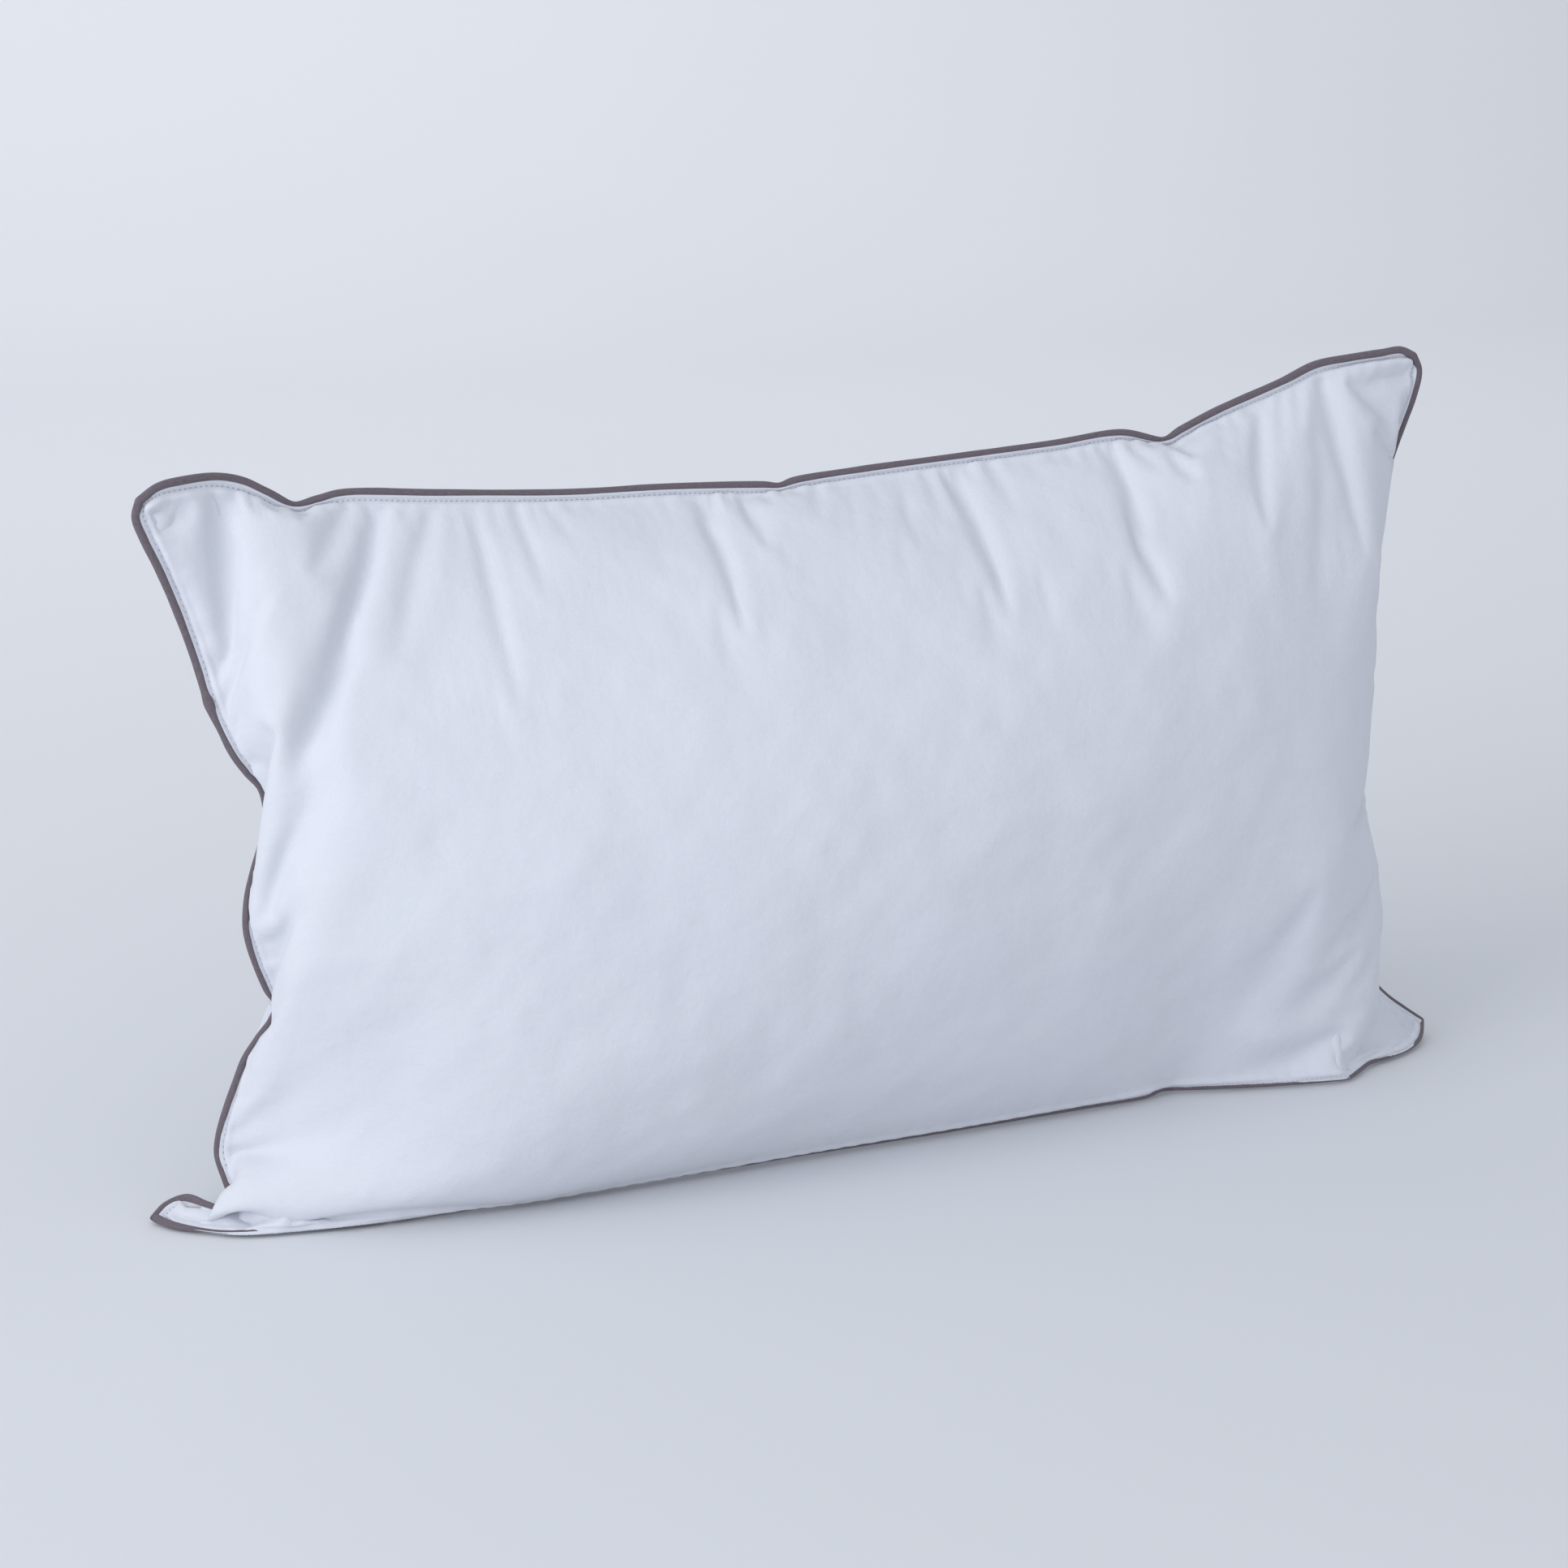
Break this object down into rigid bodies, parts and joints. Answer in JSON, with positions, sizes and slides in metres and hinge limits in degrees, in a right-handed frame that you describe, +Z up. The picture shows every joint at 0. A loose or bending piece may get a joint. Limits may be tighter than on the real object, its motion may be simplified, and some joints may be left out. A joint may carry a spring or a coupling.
{
  "type": "bed pillow",
  "caption": "Down-filled cotton bed pillow with contrast piping round the seam, standing on its long edge.",
  "frame": {"origin": "on the floor, under the middle of the pillow's box", "axes": "+X along the pillow's length, +Y from the front panel to the back panel, +Z up"},
  "size_m": [0.865, 0.1899, 0.4766],
  "materials": {
    "cotton_shell": "matte",
    "piping_fabric": "matte",
    "cotton_cord": "matte",
    "sewing_thread": "matte",
    "down": "matte",
    "label_ribbon": "satin"
  },
  "bodies": {
    "root": {"front_panel": "cotton_shell", "back_panel": "cotton_shell", "down_fill": "down", "piping_cover": "piping_fabric", "piping_cord": "cotton_cord", "seam_thread": "sewing_thread", "closing_thread": "sewing_thread", "care_label": "label_ribbon"}
  },
  "joints": []
}
